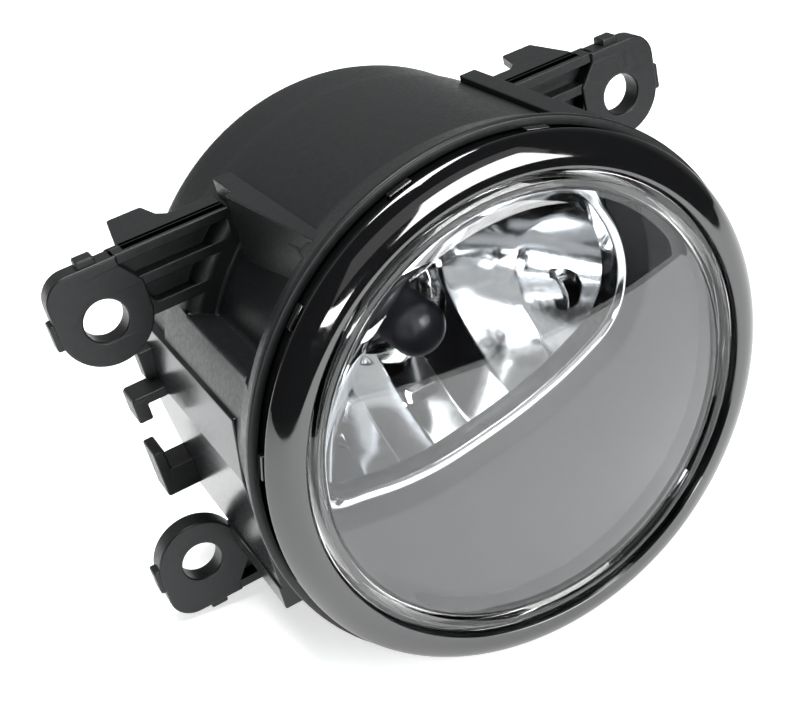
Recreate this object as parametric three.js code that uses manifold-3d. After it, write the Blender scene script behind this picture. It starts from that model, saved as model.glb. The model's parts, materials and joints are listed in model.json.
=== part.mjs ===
// Round front fog light: a moulded housing with three ears, a push-fit trim ring, a clear lens,
// and a tilting reflector that carries a bayonet bulb and is aimed by a screw at the back.
// Millimetres, +Z up. The lamp axis is Y and the light leaves towards -Y.
// The origin is on the lamp axis, in the plane of the ears' front faces.
import * as THREE from "three";
import { mergeVertices } from "three/addons/utils/BufferGeometryUtils.js";
import Module from "manifold-3d";

const wasm = await Module();
wasm.setup();

// ---------------------------------------------------------------- driving dimensions
const GAP = 0.3; // air between pieces that touch on the real lamp
const FACETS = 60; // flats round the large turned pieces

// Front ring, lens and flange
const RING_R = 45;
const RING_SEAM_Y = -38.6;
const RING_CREST_Y = -41.2;
const RING_MOUTH_R = 39.6;
const RING_MOUTH_Y = -40.6;
const RING_SKIRT_R = 44.4;
const RING_SKIRT_WALL = 0.9;
const RING_SKIRT_REAR_Y = -33.8;
const FLANGE_R = 46.3;
const FLANGE_FRONT_Y = -35.6;
const FLANGE_REAR_Y = -29.1;
const LENS_GROOVE_Y = -32.6;
const LENS_R = 39.2;
const LENS_FACE_R = 35.5;
const LENS_FACE_Y = -40.9;
const LENS_CROWN_Y = -44.2;
const LENS_WALL = 2.6;
const LENS_FOOT_REAR_Y = -34.4;

// Drum
const DRUM_R = 43.6;
const DRUM_SEAM_Y = 10.4;
const REAR_BAND_R = 42.9;
const DRUM_REAR_Y = 24.9;
const WALL = 2.2;
const CAVITY_R = 41.2;
const LEDGE_R = 35.5;
const LEDGE_FRONT_Y = -34.6;
const GROOVE_WALL_R = [39.5, 41.4]; // wall between the lens foot's groove and the ring's
const GROOVE_WALL_FRONT_Y = -37.2;
const CAVITY_FRONT_Y = -31.2;
const REAR_OPENING_R = 20;
const COLLAR_R = 22;
const COLLAR_REAR_Y = 28.9;
const NIPPLE_R = 2.6;
const NIPPLE_Z = 31;

// Ears and arms
const EAR_X = 51.1;
const EAR_Z = 25.45;
const EAR_R = 8;
const EAR_HOLE_R = 3.7;
const EAR_THICK = 4;
const ARM_TOP_Z = 35.2;
const ARM_BOTTOM_Z = 22.8;
const ARM_FRONT_Y = 0.4;
const ARM_PLATE_REAR_Y = 8.2;

// Top walls and the side pockets outside them
const FIN_TOP_Z = 38.65;
const POCKET_R = 38;
const POCKET_INNER_X = 26.2;
const POCKET_OUTER_X = 38.4;
const POCKET_WALL = 1.9;

// Side panel and clip hooks
const PANEL_X = 44;
const PANEL_TOP_Z = 2.2;
const PANEL_FRONT_Y = -23.8;
const PANEL_BOTTOM_Z = -20.5;
const HOOK_FRONT_Y = 14.4;
const HOOK_REAR_Y = 20.9;

// Reflector and pivots
const FOCUS_Y = 12.4;
const FOCAL_LENGTH = 5.6;
const REFLECTOR_FRONT_Y = -30;
const REFLECTOR_WALL = 1.8;
const NECK_BORE_R = 10.4;
const NECK_R = 13.6;
const NECK_END_Y = 38.4;
const PIVOT_Y = -9.6;
const PIN_R = 2;
const SOCKET_R = 5;

// Inner bezel and the lip of its opening
const BEZEL_R = 36.6;
const OPENING_R = 35.5;
const BEZEL_FRONT_Y = -36.4;
const BEZEL_REAR_Y = -34.9;
const TRIM_FRONT_Y = -37;
const TRIM_REAR_Y = -32;
const TRIM_WALL = 1.7;

// Aiming gear
const ADJUSTER_Z = -32;
const THREAD_R = 2.4;
const SHANK_R = 2.6;
const BUSH_R = 4.2;
const NUT_POST_Y = 7.4;
const FORK_DEPTH = 26;

// Bulb
const GLASS_R = 5;
const GLASS_TIP_Y = -4.2;
const GLASS_WALL = 0.9;
const GLASS_REAR_Y = 29.4;
const COLLAR_FRONT_Y = 22.4;
const LEAD_END_Y = 30;
const BASE_FRONT_Y = 30.4;
const BASE_PLATE_Y = 38.7;
const SHROUD_MOUTH_Z = -27;
const TERMINAL_X = [-3.2, 3.2];
const TERMINAL_Y = BASE_PLATE_Y + 9.1;
const GROOVE_R = 12.3;
const GROOVE_FRONT_Y = 33.6;
const GROOVE_REAR_Y = 36.3;
const BAYONET_ANGLE = 35; // degrees from the locked place to the notches
const LUG_ANGLES = [90, 210, 330];

// ---------------------------------------------------------------- shape helpers
const DEG = Math.PI / 180;

// A closed geometry as a manifold solid, turned to face out.
function toSolid(geometry) {
  const bare = geometry.index ? geometry.toNonIndexed() : geometry.clone();
  bare.deleteAttribute("normal");
  bare.deleteAttribute("uv");
  const merged = mergeVertices(bare, 1e-4);
  const triVerts = new Uint32Array(merged.index.array);
  const vertProperties = merged.attributes.position.array;
  const made = new wasm.Manifold(new wasm.Mesh({ numProp: 3, vertProperties, triVerts }));
  if (made.volume() > 0) return made;
  for (let i = 0; i < triVerts.length; i += 3) {
    [triVerts[i + 1], triVerts[i + 2]] = [triVerts[i + 2], triVerts[i + 1]];
  }
  return new wasm.Manifold(new wasm.Mesh({ numProp: 3, vertProperties, triVerts }));
}

function toGeometry(solid) {
  const mesh = solid.getMesh();
  const points = new Float32Array(mesh.numVert * 3);
  for (let i = 0; i < mesh.numVert; i += 1) {
    for (let k = 0; k < 3; k += 1) points[3 * i + k] = mesh.vertProperties[i * mesh.numProp + k];
  }
  const geometry = new THREE.BufferGeometry();
  geometry.setAttribute("position", new THREE.BufferAttribute(points, 3));
  geometry.setIndex(new THREE.BufferAttribute(new Uint32Array(mesh.triVerts), 1));
  geometry.computeVertexNormals();
  return geometry;
}

const join = (...solids) => solids.reduce((sum, next) => sum.add(next));
const cut = (solid, ...tools) => tools.reduce((rest, tool) => rest.subtract(tool), solid);

// A body of revolution about Y from [radius, y] points.
function turned(profile, segments = 48) {
  const points = profile.map(([r, y]) => new THREE.Vector2(r, y));
  if (profile[0][0] > 0) points.push(points[0].clone());
  return toSolid(new THREE.LatheGeometry(points, segments));
}

// The same about an axis parallel to X, through y and z; profile points are [radius, x].
function turnedAboutX(profile, y, z, segments = 24) {
  const points = profile.map(([r, x]) => new THREE.Vector2(r, x));
  const geometry = new THREE.LatheGeometry(points, segments);
  geometry.rotateZ(-Math.PI / 2);
  return toSolid(geometry.translate(0, y, z));
}

// A plain rod along Y between two planes.
function rod(r, y0, y1, x = 0, z = 0, segments = 32) {
  const geometry = new THREE.CylinderGeometry(r, r, y1 - y0, segments);
  return toSolid(geometry.translate(x, (y0 + y1) / 2, z));
}

function block([x0, x1], [y0, y1], [z0, z1]) {
  const geometry = new THREE.BoxGeometry(Math.abs(x1 - x0), y1 - y0, z1 - z0);
  return toSolid(geometry.translate((x0 + x1) / 2, (y0 + y1) / 2, (z0 + z1) / 2));
}

// A plate drawn in X and Z, standing between two Y planes.
function plateXZ(shape, y0, y1, curveSegments = 16) {
  const geometry = new THREE.ExtrudeGeometry(shape, {
    depth: y1 - y0,
    bevelEnabled: false,
    curveSegments,
  });
  return toSolid(geometry.rotateX(Math.PI / 2).translate(0, y1, 0));
}

// A plate drawn in Y and Z, standing between two X planes.
function plateYZ(shape, x0, x1) {
  const geometry = new THREE.ExtrudeGeometry(shape, { depth: x1 - x0, bevelEnabled: false });
  const axes = new THREE.Matrix4().makeBasis(
    new THREE.Vector3(0, 1, 0),
    new THREE.Vector3(0, 0, 1),
    new THREE.Vector3(1, 0, 0),
  );
  return toSolid(geometry.applyMatrix4(axes).translate(x0, 0, 0));
}

// A plate drawn in X and Y, lying between two Z planes.
function plateXY(shape, z0, z1) {
  const geometry = new THREE.ExtrudeGeometry(shape, { depth: z1 - z0, bevelEnabled: false });
  return toSolid(geometry.translate(0, 0, z0));
}

const polygon = (points) => new THREE.Shape(points.map(([u, v]) => new THREE.Vector2(u, v)));

// A wire or tube of round section along a smooth curve.
function wire(points, r, steps, sides = 4) {
  const path = new THREE.CatmullRomCurve3(points.map((p) => new THREE.Vector3(...p)));
  const section = new THREE.Shape().absarc(0, 0, r, 0, 2 * Math.PI, false);
  const geometry = new THREE.ExtrudeGeometry(section, {
    steps,
    extrudePath: path,
    curveSegments: sides,
    bevelEnabled: false,
  });
  return toSolid(geometry);
}

function mirroredX(solid) {
  const geometry = toGeometry(solid);
  geometry.scale(-1, 1, 1);
  return toSolid(geometry);
}

function mirroredZ(solid) {
  const geometry = toGeometry(solid);
  geometry.scale(1, 1, -1);
  return toSolid(geometry);
}

function turnedBy(solid, degrees) {
  return toSolid(toGeometry(solid).rotateY(-degrees * DEG));
}

// ---------------------------------------------------------------- materials
const finish = (color, roughness, metalness = 0) =>
  new THREE.MeshStandardMaterial({ color, roughness, metalness });
const MATTE_BLACK = finish(0x1c1f20, 0.6);
const GLOSS_BLACK = finish(0x08090a, 0.08);
const BEZEL_GREY = finish(0x3a3f42, 0.2);
const CLEAR = new THREE.MeshStandardMaterial({
  color: 0xf4f8f8,
  roughness: 0.03,
  transparent: true,
  opacity: 0.3,
});
const BRIGHT_TRIM = finish(0xc8ccce, 0.12, 1);
const MIRROR = finish(0xe8eaec, 0.05, 1);
const RUBBER = finish(0x141414, 0.85);
const SEALANT = finish(0x2a2a2a, 0.7);
const NATURAL_NYLON = finish(0xd8d3c4, 0.5);
const STEEL = finish(0xa6a9ab, 0.3, 1);
const TUNGSTEN = finish(0x6f7072, 0.35, 1);
const TERMINAL = finish(0xb9b3a2, 0.3, 1);
const BULB_BASE = finish(0x2b2c2e, 0.55);

const lamp = new THREE.Group();
lamp.name = "fog_light";

function add(name, solid, material) {
  const mesh = new THREE.Mesh(toGeometry(solid), material);
  mesh.name = name;
  lamp.add(mesh);
}

// ---------------------------------------------------------------- housing
// Drum with its front flange, before anything is hollowed out.
function drum() {
  const CORNER = 2.4;
  return turned(
    [
      [LEDGE_R, LEDGE_FRONT_Y],
      [BEZEL_R, LEDGE_FRONT_Y],
      [BEZEL_R, LENS_GROOVE_Y],
      [GROOVE_WALL_R[0], LENS_GROOVE_Y],
      [GROOVE_WALL_R[0], GROOVE_WALL_FRONT_Y],
      [GROOVE_WALL_R[1], GROOVE_WALL_FRONT_Y],
      [GROOVE_WALL_R[1], FLANGE_FRONT_Y],
      [RING_SKIRT_R - RING_SKIRT_WALL - 0.4, FLANGE_FRONT_Y],
      [RING_SKIRT_R - RING_SKIRT_WALL - 0.4, RING_SKIRT_REAR_Y + 0.8],
      [RING_SKIRT_R + GAP, RING_SKIRT_REAR_Y + 0.8],
      [RING_SKIRT_R + GAP, FLANGE_FRONT_Y],
      [FLANGE_R, FLANGE_FRONT_Y],
      [FLANGE_R, FLANGE_FRONT_Y + 1],
      [44.9, FLANGE_REAR_Y],
      [44.1, FLANGE_REAR_Y + 1.2],
      [DRUM_R, FLANGE_REAR_Y + 3.6],
      [DRUM_R, DRUM_SEAM_Y],
      [REAR_BAND_R, DRUM_SEAM_Y + 0.8],
      [REAR_BAND_R, DRUM_REAR_Y - CORNER],
      [REAR_BAND_R - 0.3 * CORNER, DRUM_REAR_Y - 0.3 * CORNER],
      [REAR_BAND_R - CORNER, DRUM_REAR_Y],
      [COLLAR_R, DRUM_REAR_Y],
      [COLLAR_R, COLLAR_REAR_Y],
      [REAR_OPENING_R, COLLAR_REAR_Y],
      [REAR_OPENING_R, 5],
      [LEDGE_R, 5],
    ],
    FACETS,
  );
}

// The round hollow behind the ledge, up to the rear wall.
function cavity() {
  return turned(
    [
      [0, CAVITY_FRONT_Y],
      [LEDGE_R + 0.01, CAVITY_FRONT_Y],
      [CAVITY_R, CAVITY_FRONT_Y + 1.4],
      [CAVITY_R, DRUM_SEAM_Y],
      [REAR_BAND_R - WALL, DRUM_SEAM_Y + 0.8],
      [REAR_BAND_R - WALL, DRUM_REAR_Y - WALL],
      [0, DRUM_REAR_Y - WALL],
    ],
    FACETS,
  );
}

// The space outside a top wall, above the side of the drum; wall is added all round it for its skin.
function pocket(wall) {
  const x0 = POCKET_INNER_X - wall;
  const x1 = POCKET_OUTER_X + wall;
  const above = block([x0, x1], [FLANGE_REAR_Y - wall, ARM_FRONT_Y + wall], [14 - wall, 50]);
  return cut(above, rod(POCKET_R - wall, -60, 40, 0, 0, FACETS));
}

// A top wall: its outer edge leans in towards the front by lean.
function fin(lean) {
  const plan = [
    [22, -32.8],
    [25.7 - lean, -32.8],
    [25.7 + 0.7 * lean, -3],
    [25.7, -2],
    [25.7, 5.9],
    [22.4, 5.9],
  ];
  return plateXY(polygon(plan), 28, FIN_TOP_Z);
}

// One ear on its channel-section arm, in the upper right quarter.
function ear() {
  const pad = new THREE.Shape();
  const corner = 4.6;
  pad.moveTo(46.6, ARM_TOP_Z);
  pad.lineTo(EAR_X + EAR_R - corner, ARM_TOP_Z);
  pad.absarc(EAR_X + EAR_R - corner, ARM_TOP_Z - corner, corner, Math.PI / 2, 0, true);
  pad.lineTo(EAR_X + EAR_R, EAR_Z);
  pad.absarc(EAR_X, EAR_Z, EAR_R, 0, -Math.PI, true);
  pad.lineTo(EAR_X - EAR_R, 29);
  pad.lineTo(46.6, 33);
  const disc = plateXZ(pad, 0, EAR_THICK);

  const arm = block([26, 50], [ARM_FRONT_Y, EAR_THICK + 0.4], [ARM_BOTTOM_Z, ARM_TOP_Z]);
  const upperPocket = block([27.5, 46.4], [-1, 3], [30.2, 33.4]);
  const lowerPocket = block([27.5, 43.4], [-1, 3], [24.8, 28.4]);
  const topPlate = plateXY(
    polygon([
      [26, 1],
      [44.7, 1],
      [44.7, EAR_THICK],
      [43, 15.6],
      [36.7, 15.6],
      [35.6, 10.2],
      [34, ARM_PLATE_REAR_Y],
      [26, ARM_PLATE_REAR_Y],
    ]),
    33.4,
    ARM_TOP_Z,
  );
  const topNub = block([49.2, 52.4], [0.6, 3.6], [ARM_TOP_Z - 1, ARM_TOP_Z + 1.2]);
  const sideNub = block([EAR_X + 6, EAR_X + EAR_R + 0.8], [0.4, 3.4], [23.4, 28.2]);
  const solid = cut(join(disc, arm, topPlate, topNub, sideNub), upperPocket, lowerPocket);
  return cut(solid, rod(EAR_HOLE_R, -5, 10, EAR_X, EAR_Z, 32));
}

// The flat side of the housing on -X, with the block under its front end.
function sidePanel() {
  const section = plateXZ(
    polygon([
      [-42.3, 13],
      [-PANEL_X, PANEL_TOP_Z],
      [-PANEL_X, PANEL_BOTTOM_Z],
      [-30, PANEL_BOTTOM_Z],
      [-30, 13],
    ]),
    PANEL_FRONT_Y,
    24.6,
  );
  const outline = plateYZ(
    polygon([
      [PANEL_FRONT_Y, 14],
      [PANEL_FRONT_Y, -21],
      [15.9, -21],
      [16.7, -14],
      [24.6, -5],
      [22.4, 14],
    ]),
    -50,
    -28,
  );
  const underBlock = block([-PANEL_X - 0.4, -36], [PANEL_FRONT_Y, 0.6], [-24.8, PANEL_BOTTOM_Z + 0.2]);
  return join(section.intersect(outline), underBlock);
}

// Two hooks that face each other: a slot for a harness clip. The lower one has a thicker arm.
function clipHooks() {
  const outer = -PANEL_X - 6.4;
  const hook = (armZ, innerZ, lipZ, lipX) =>
    plateXZ(
      polygon([
        [-42, armZ],
        [outer, armZ],
        [outer, lipZ],
        [lipX, lipZ],
        [lipX, innerZ],
        [-42, innerZ],
      ]),
      HOOK_FRONT_Y,
      HOOK_REAR_Y,
    );
  const nub = block([-PANEL_X - 1.8, -42], [HOOK_REAR_Y - 2.4, HOOK_REAR_Y + 1.4], [2.6, 8.4]);
  return join(hook(2.3, 0.5, -2.65, -47.7), hook(-19.3, -13.6, -9.4, -48.2), nub);
}

// Tube-shaped bosses inside the drum that hold the pivot sockets.
function pivotBoss() {
  const solid = turnedAboutX(
    [
      [0, 34.6],
      [SOCKET_R + 2.2, 34.6],
      [SOCKET_R + 2.2, 42.4],
      [0, 42.4],
    ],
    PIVOT_Y,
    0,
    32,
  );
  const seat = turnedAboutX(
    [
      [0, 30],
      [SOCKET_R + GAP, 30],
      [SOCKET_R + GAP, 39.8],
      [0, 39.8],
    ],
    PIVOT_Y,
    0,
    32,
  );
  return [solid, seat];
}

// Two rails that keep the adjuster nut from turning.
function nutGuide() {
  const rails = [-1, 1].map((side) =>
    block(
      [side * 5.6, side * 7.4],
      [-2, DRUM_REAR_Y - WALL + 0.2],
      [-41.6, ADJUSTER_Z + 3.2],
    ),
  );
  return join(...rails);
}

function housing() {
  const [bossRight, seatRight] = pivotBoss();
  const rightEar = ear();
  const leftEar = mirroredX(rightEar);
  const nipple = rod(NIPPLE_R, DRUM_REAR_Y - 1, DRUM_REAR_Y + 4.2, 0, NIPPLE_Z, 24);
  const ears = join(rightEar, leftEar, mirroredZ(leftEar));
  const outside = join(drum(), ears, sidePanel(), clipHooks(), nipple);
  const pocketRight = pocket(0);
  const skin = join(pocket(POCKET_WALL), mirroredX(pocket(POCKET_WALL)));
  const hollow = cut(cavity(), skin);
  const shell = cut(outside, hollow, pocketRight, mirroredX(pocketRight));
  const fins = cut(join(fin(0), mirroredX(fin(1.7))), hollow);
  return cut(
    join(shell, fins, bossRight, mirroredX(bossRight), nutGuide()),
    seatRight,
    mirroredX(seatRight),
    rod(REAR_OPENING_R, 4, 60, 0, 0, FACETS),
    rod(BUSH_R + GAP, DRUM_REAR_Y - 6, DRUM_REAR_Y + 6, 0, ADJUSTER_Z, 24),
    rod(NIPPLE_R / 2, DRUM_REAR_Y - 6, DRUM_REAR_Y + 6, 0, NIPPLE_Z, 16),
  );
}

// ---------------------------------------------------------------- front pieces
// Rounded bezel with a skirt that snaps into the housing's groove.
function trimRing() {
  const skirtInner = RING_SKIRT_R - RING_SKIRT_WALL;
  const ring = turned(
    [
      [RING_R, RING_SEAM_Y],
      [RING_R - 0.1, RING_SEAM_Y - 0.7],
      [RING_R - 0.6, RING_SEAM_Y - 1.4],
      [RING_R - 1.5, RING_SEAM_Y - 2.1],
      [RING_R - 2.6, RING_CREST_Y + 0.1],
      [RING_R - 3.6, RING_CREST_Y],
      [RING_R - 4.6, RING_CREST_Y + 0.2],
      [RING_MOUTH_R, RING_MOUTH_Y],
      [RING_MOUTH_R, RING_MOUTH_Y + 1.1],
      [RING_MOUTH_R + 1.4, RING_MOUTH_Y + 0.8],
      [RING_R - 2.6, RING_MOUTH_Y + 0.8],
      [skirtInner, RING_SEAM_Y - 0.3],
      [skirtInner, RING_SKIRT_REAR_Y],
      [RING_SKIRT_R, RING_SKIRT_REAR_Y],
      [RING_SKIRT_R, RING_SEAM_Y],
    ],
    FACETS,
  );
  const clips = [];
  for (let i = 0; i < 12; i += 1) {
    const clip = block([-2, 2], [-37.6, -36.2], [RING_SKIRT_R - 0.5, RING_SKIRT_R + 0.6]);
    clips.push(turnedBy(clip, 15 + 30 * i));
  }
  return join(ring, ...clips);
}

// Clear cover: a domed window, a thick rim and a foot that sits in the sealant groove.
function lens() {
  const DOME_STEPS = 5;
  const outside = [];
  for (let i = DOME_STEPS - 1; i >= 0; i -= 1) {
    const r = (LENS_FACE_R * i) / DOME_STEPS;
    const y = LENS_CROWN_Y + (LENS_FACE_Y - LENS_CROWN_Y) * (r / LENS_FACE_R) ** 2;
    outside.push([r, y]);
  }
  const inside = outside
    .slice()
    .reverse()
    .map(([r, y]) => [r, y + LENS_WALL]);
  return turned(
    [
      ...inside,
      [LENS_FACE_R, -38.2],
      [36.9, -38.2],
      [36.9, LENS_FOOT_REAR_Y],
      [38.7, LENS_FOOT_REAR_Y],
      [38.7, -38.4],
      [LENS_R, -39],
      [LENS_R, -40],
      [38.7, -40.8],
      [37.6, -41.1],
      [36.8, -40.8],
      [36.2, -40.3],
      [LENS_FACE_R, LENS_FACE_Y],
      ...outside,
    ],
    FACETS,
  );
}

function lensSealant() {
  const y0 = LENS_FOOT_REAR_Y + GAP;
  const y1 = LENS_GROOVE_Y - GAP;
  return turned(
    [
      [36.8, y0],
      [39, y0],
      [39, y1],
      [36.8, y1],
    ],
    48,
  );
}

// The opening in the inner bezel, drawn in X and Z and shrunk by inset all round: a round arc over
// the top and left, a rounded left tip, an S-shaped lower edge and a short right end.
function aperture(inset) {
  const outline = new THREE.Shape();
  outline.absarc(0, 0, OPENING_R, 57.5 * DEG, 178 * DEG, false);
  outline.absarc(-33.2, 0.4, 2.3, 178 * DEG, 265 * DEG, false);
  const lowerEdge = [
    [-30.4, -2.2],
    [-24, -3.4],
    [-16.5, -3.7],
    [-8.8, -2.8],
    [-0.9, -1.4],
    [7.3, 0.9],
    [13, 3.2],
    [17.6, 5.6],
    [20.8, 9.2],
    [22.5, 13.6],
    [22.9, 18.5],
    [21.9, 23.8],
    [19.6, 29.2],
  ];
  outline.splineThru(lowerEdge.map((p) => new THREE.Vector2(...p)));
  const points = outline.getSpacedPoints(110).slice(0, -1);
  const count = points.length;
  const moved = points.map((point, i) => {
    const along = points[(i + 1) % count].clone().sub(points[(i + count - 1) % count]);
    const inward = new THREE.Vector2(-along.y, along.x).normalize();
    return point.clone().addScaledVector(inward, inset);
  });
  const clear = moved.filter((point) =>
    points.every((other) => point.distanceTo(other) > 0.995 * inset),
  );
  return new THREE.Shape(inset > 0 ? clear : points);
}

// Glossy mask behind the lens, with the opening that shows the reflector.
function innerBezel() {
  const plate = rod(BEZEL_R, BEZEL_FRONT_Y, BEZEL_REAR_Y, 0, 0, FACETS);
  return cut(plate, plateXZ(aperture(0), BEZEL_FRONT_Y - 5, BEZEL_REAR_Y + 5));
}

// Bright lip that lines the opening, in front of the reflector.
function apertureTrim() {
  const band = plateXZ(aperture(GAP), TRIM_FRONT_Y, TRIM_REAR_Y);
  return cut(band, plateXZ(aperture(GAP + TRIM_WALL), TRIM_FRONT_Y - 1, TRIM_REAR_Y + 1));
}

// ---------------------------------------------------------------- reflector body
// Radius of the parabola at a place on the axis; its focus is the filament.
const dishR = (y) => Math.sqrt(4 * FOCAL_LENGTH * (FOCUS_Y + FOCAL_LENGTH - y));

// Dish, neck with an inside groove for the bulb's lugs, side bosses and the fork for the nut.
function reflector() {
  const STEPS = 7;
  const dishRearY = FOCUS_Y + FOCAL_LENGTH - NECK_BORE_R ** 2 / (4 * FOCAL_LENGTH);
  const inside = [];
  for (let i = 0; i <= STEPS; i += 1) {
    const y = REFLECTOR_FRONT_Y + ((dishRearY - REFLECTOR_FRONT_Y) * i) / STEPS;
    inside.push([dishR(y), y]);
  }
  const outside = inside
    .slice(0, -1)
    .reverse()
    .map(([r, y]) => [r + REFLECTOR_WALL, y]);
  const shell = turned(
    [
      ...inside,
      [NECK_BORE_R, GROOVE_FRONT_Y],
      [GROOVE_R, GROOVE_FRONT_Y],
      [GROOVE_R, GROOVE_REAR_Y],
      [NECK_BORE_R, GROOVE_REAR_Y],
      [NECK_BORE_R, NECK_END_Y],
      [NECK_R + 2.4, NECK_END_Y],
      [NECK_R + 2.4, NECK_END_Y - 3.2],
      [NECK_R, NECK_END_Y - 4.4],
      [NECK_R, dishRearY + 1],
      ...outside,
    ],
    48,
  );
  const dishSpace = turned([[0, REFLECTOR_FRONT_Y - 1], ...inside, [0, dishRearY]], 48);
  const boss = turnedAboutX(
    [
      [0, 20],
      [4.2, 20],
      [4.2, 31],
      [0, 31],
    ],
    PIVOT_Y,
    0,
    20,
  );
  const pinHole = turnedAboutX(
    [
      [0, 28],
      [PIN_R + GAP, 28],
      [PIN_R + GAP, 32],
      [0, 32],
    ],
    PIVOT_Y,
    0,
    20,
  );
  const prong = (y0) => block([-3, 3], [y0, y0 + 2.4], [-FORK_DEPTH, -12]);
  const prongs = join(prong(NUT_POST_Y - 1 - GAP - 2.4), prong(NUT_POST_Y + 1 + GAP));
  const notches = LUG_ANGLES.map((angle) =>
    turnedBy(
      block([8, GROOVE_R], [GROOVE_REAR_Y - 0.5, NECK_END_Y + 1], [-3.4, 3.4]),
      angle + BAYONET_ANGLE,
    ),
  );
  const solid = join(shell, cut(join(boss, mirroredX(boss), prongs), dishSpace, rod(13, 0, 40)));
  return cut(solid, pinHole, mirroredX(pinHole), ...notches);
}

function pivotPin() {
  return turnedAboutX(
    [
      [0, 28.4],
      [PIN_R, 28.4],
      [PIN_R, 37],
      [PIN_R - 0.6, 37.6],
      [0, 37.6],
    ],
    PIVOT_Y,
    0,
    20,
  );
}

// Nylon cup in the housing's boss; the pin turns in it.
function pivotSocket() {
  const bore = PIN_R + 0.1;
  return turnedAboutX(
    [
      [bore, 33],
      [SOCKET_R, 33],
      [SOCKET_R, 39.4],
      [0, 39.4],
      [0, 38.2],
      [bore, 38.2],
      [bore, 33],
    ],
    PIVOT_Y,
    0,
    24,
  );
}

// ---------------------------------------------------------------- aiming gear
// Screw with a toothed knob outside the rear wall and a ridged shaft for the nut.
function adjusterScrew() {
  const profile = [[0, -6]];
  for (let y = -5.6; y < 18; y += 2) {
    profile.push([THREAD_R - 0.35, y - 0.4], [THREAD_R, y], [THREAD_R, y + 0.8]);
  }
  profile.push(
    [SHANK_R, 19.6],
    [SHANK_R, 26.9],
    [6, 26.9],
    [6, 30.6],
    [5.2, 31.4],
    [0, 31.4],
  );
  const body = toSolid(toGeometry(turned(profile, 18)).translate(0, 0, ADJUSTER_Z));
  const teeth = [];
  for (let i = 0; i < 12; i += 1) {
    const groove = turnedBy(block([5.5, 7], [26, 32], [-0.6, 0.6]), 30 * i);
    teeth.push(toSolid(toGeometry(groove).translate(0, 0, ADJUSTER_Z)));
  }
  const slots = [block([-3, 3], [29, 33], [-0.6, 0.6]), block([-0.6, 0.6], [29, 33], [-3, 3])];
  const recess = toSolid(toGeometry(join(...slots)).translate(0, 0, ADJUSTER_Z));
  return cut(body, ...teeth, recess);
}

// Block that slides between the housing's rails; its post works in the reflector's fork.
function adjusterNut() {
  const body = block([-5.2, 5.2], [NUT_POST_Y - 3, NUT_POST_Y + 3], [-36.4, -28.4]);
  const post = block([-1.8, 1.8], [NUT_POST_Y - 1, NUT_POST_Y + 1], [-29, -FORK_DEPTH + 3]);
  return cut(join(body, post), rod(THREAD_R + GAP, -20, 30, 0, ADJUSTER_Z, 20));
}

function adjusterBush() {
  const y = DRUM_REAR_Y;
  const ring = turned(
    [
      [SHANK_R + 0.3, y - 3],
      [BUSH_R, y - 3],
      [BUSH_R, y + GAP],
      [SHANK_R + 3.4, y + GAP],
      [SHANK_R + 3.4, y + 1.6],
      [SHANK_R + 0.3, y + 1.6],
    ],
    24,
  );
  return toSolid(toGeometry(ring).translate(0, 0, ADJUSTER_Z));
}

// Push-on washer inside the rear wall, which stops the screw from pulling out.
function screwRetainer() {
  const y = DRUM_REAR_Y - 4.6;
  const ring = turned(
    [
      [SHANK_R + 0.15, y],
      [SHANK_R + 2.6, y],
      [SHANK_R + 2.6, y + 0.8],
      [SHANK_R + 0.15, y + 0.8],
    ],
    24,
  );
  return toSolid(toGeometry(ring).translate(0, 0, ADJUSTER_Z));
}

// ---------------------------------------------------------------- rear pieces
// Rubber bellows from the housing's rear collar to the reflector's neck.
function rearBoot() {
  const y = COLLAR_REAR_Y;
  return turned(
    [
      [COLLAR_R + GAP, y - 3.6],
      [COLLAR_R + 1.6, y - 3.6],
      [COLLAR_R + 1.6, y + 1.6],
      [20.6, y + 1.8],
      [19.2, y + 0.4],
      [18, y + 0.4],
      [17.2, y + 4.8],
      [NECK_R + GAP, y + 4.8],
      [NECK_R + GAP, y + 2.7],
      [15.9, y + 2.7],
      [16.7, y - 0.9],
      [19.2, y - 0.9],
      [19.5, y + GAP],
      [COLLAR_R + GAP, y + GAP],
    ],
    40,
  );
}

function bootClamp() {
  const inner = COLLAR_R + 1.6 + GAP;
  const y = COLLAR_REAR_Y - 2.9;
  const band = turned(
    [
      [inner, y],
      [inner + 1, y],
      [inner + 1, y + 2.4],
      [inner, y + 2.4],
    ],
    48,
  );
  const screwLug = block([-2, 2], [y, y + 2.4], [inner + 0.5, inner + 3]);
  return join(band, turnedBy(screwLug, 60));
}

// Rubber cap over the vent nipple.
function breatherCap() {
  const y = DRUM_REAR_Y + GAP;
  const cap = turned(
    [
      [NIPPLE_R + GAP, y],
      [4.6, y],
      [4.6, y + 5.4],
      [3.8, y + 6.4],
      [0, y + 6.4],
      [0, y + 4.6],
      [NIPPLE_R + GAP, y + 4.6],
    ],
    24,
  );
  return toSolid(toGeometry(cap).translate(0, 0, NIPPLE_Z));
}

// ---------------------------------------------------------------- bulb
// Test-tube glass, open at the collar end.
function bulbGlass() {
  const bore = GLASS_R - GLASS_WALL;
  return turned(
    [
      [0, GLASS_TIP_Y],
      [2.6, GLASS_TIP_Y + 0.5],
      [4.2, GLASS_TIP_Y + 1.7],
      [GLASS_R, GLASS_TIP_Y + 3.6],
      [GLASS_R, GLASS_REAR_Y],
      [bore, GLASS_REAR_Y],
      [bore, GLASS_TIP_Y + 3.8],
      [3.4, GLASS_TIP_Y + 2.3],
      [0, GLASS_TIP_Y + 1.2],
    ],
    32,
  );
}

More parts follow.
